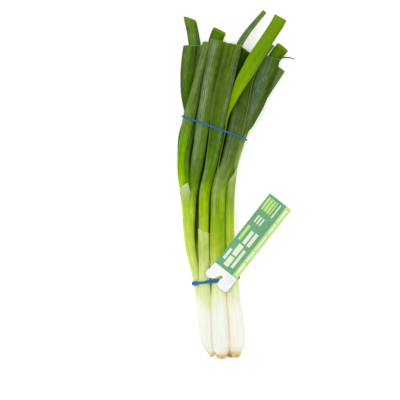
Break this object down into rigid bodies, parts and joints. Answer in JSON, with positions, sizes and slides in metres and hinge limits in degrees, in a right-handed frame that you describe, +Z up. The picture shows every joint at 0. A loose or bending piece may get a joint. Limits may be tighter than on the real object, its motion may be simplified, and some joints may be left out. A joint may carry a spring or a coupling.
{
  "type": "spring onion bunch",
  "caption": "Bunch of spring onions lying down, with white bulbs, pale stems and cut hollow green leaves, tied by rubber bands with a card tag.",
  "frame": {"origin": "middle of the footprint, on the surface that the bunch lies on", "axes": "+Y from the roots to the leaf tips, +Z up, +X to the right when seen from above with the leaf tips away from the viewer"},
  "size_m": [0.1137, 0.3352, 0.0275],
  "materials": {
    "leaf": "satin green leaf with fine long veins and a whitish bloom, pale yellow-green towards the bulb",
    "bulb": "smooth moist white skin with faint long ribs, greenish towards the leaves",
    "root": "dry tan trimmed root plate",
    "rubber_band": "blue stretched rubber",
    "tag_card": "smooth printed card, green with a lime stripe and a white end"
  },
  "bodies": {
    "root": {"onion_a_leaves": "leaf", "onion_b_leaves": "leaf", "onion_c_leaves": "leaf", "onion_d_leaves": "leaf", "onion_e_leaves": "leaf", "onion_f_leaves": "leaf", "onion_a_bulb": "bulb", "onion_b_bulb": "bulb", "onion_c_bulb": "bulb", "onion_d_bulb": "bulb", "onion_e_bulb": "bulb", "onion_f_bulb": "bulb", "onion_a_roots": "root", "onion_b_roots": "root", "onion_c_roots": "root", "onion_d_roots": "root", "onion_e_roots": "root", "onion_f_roots": "root", "upper_band": "rubber_band", "lower_band": "rubber_band", "tag": "tag_card"}
  },
  "joints": []
}
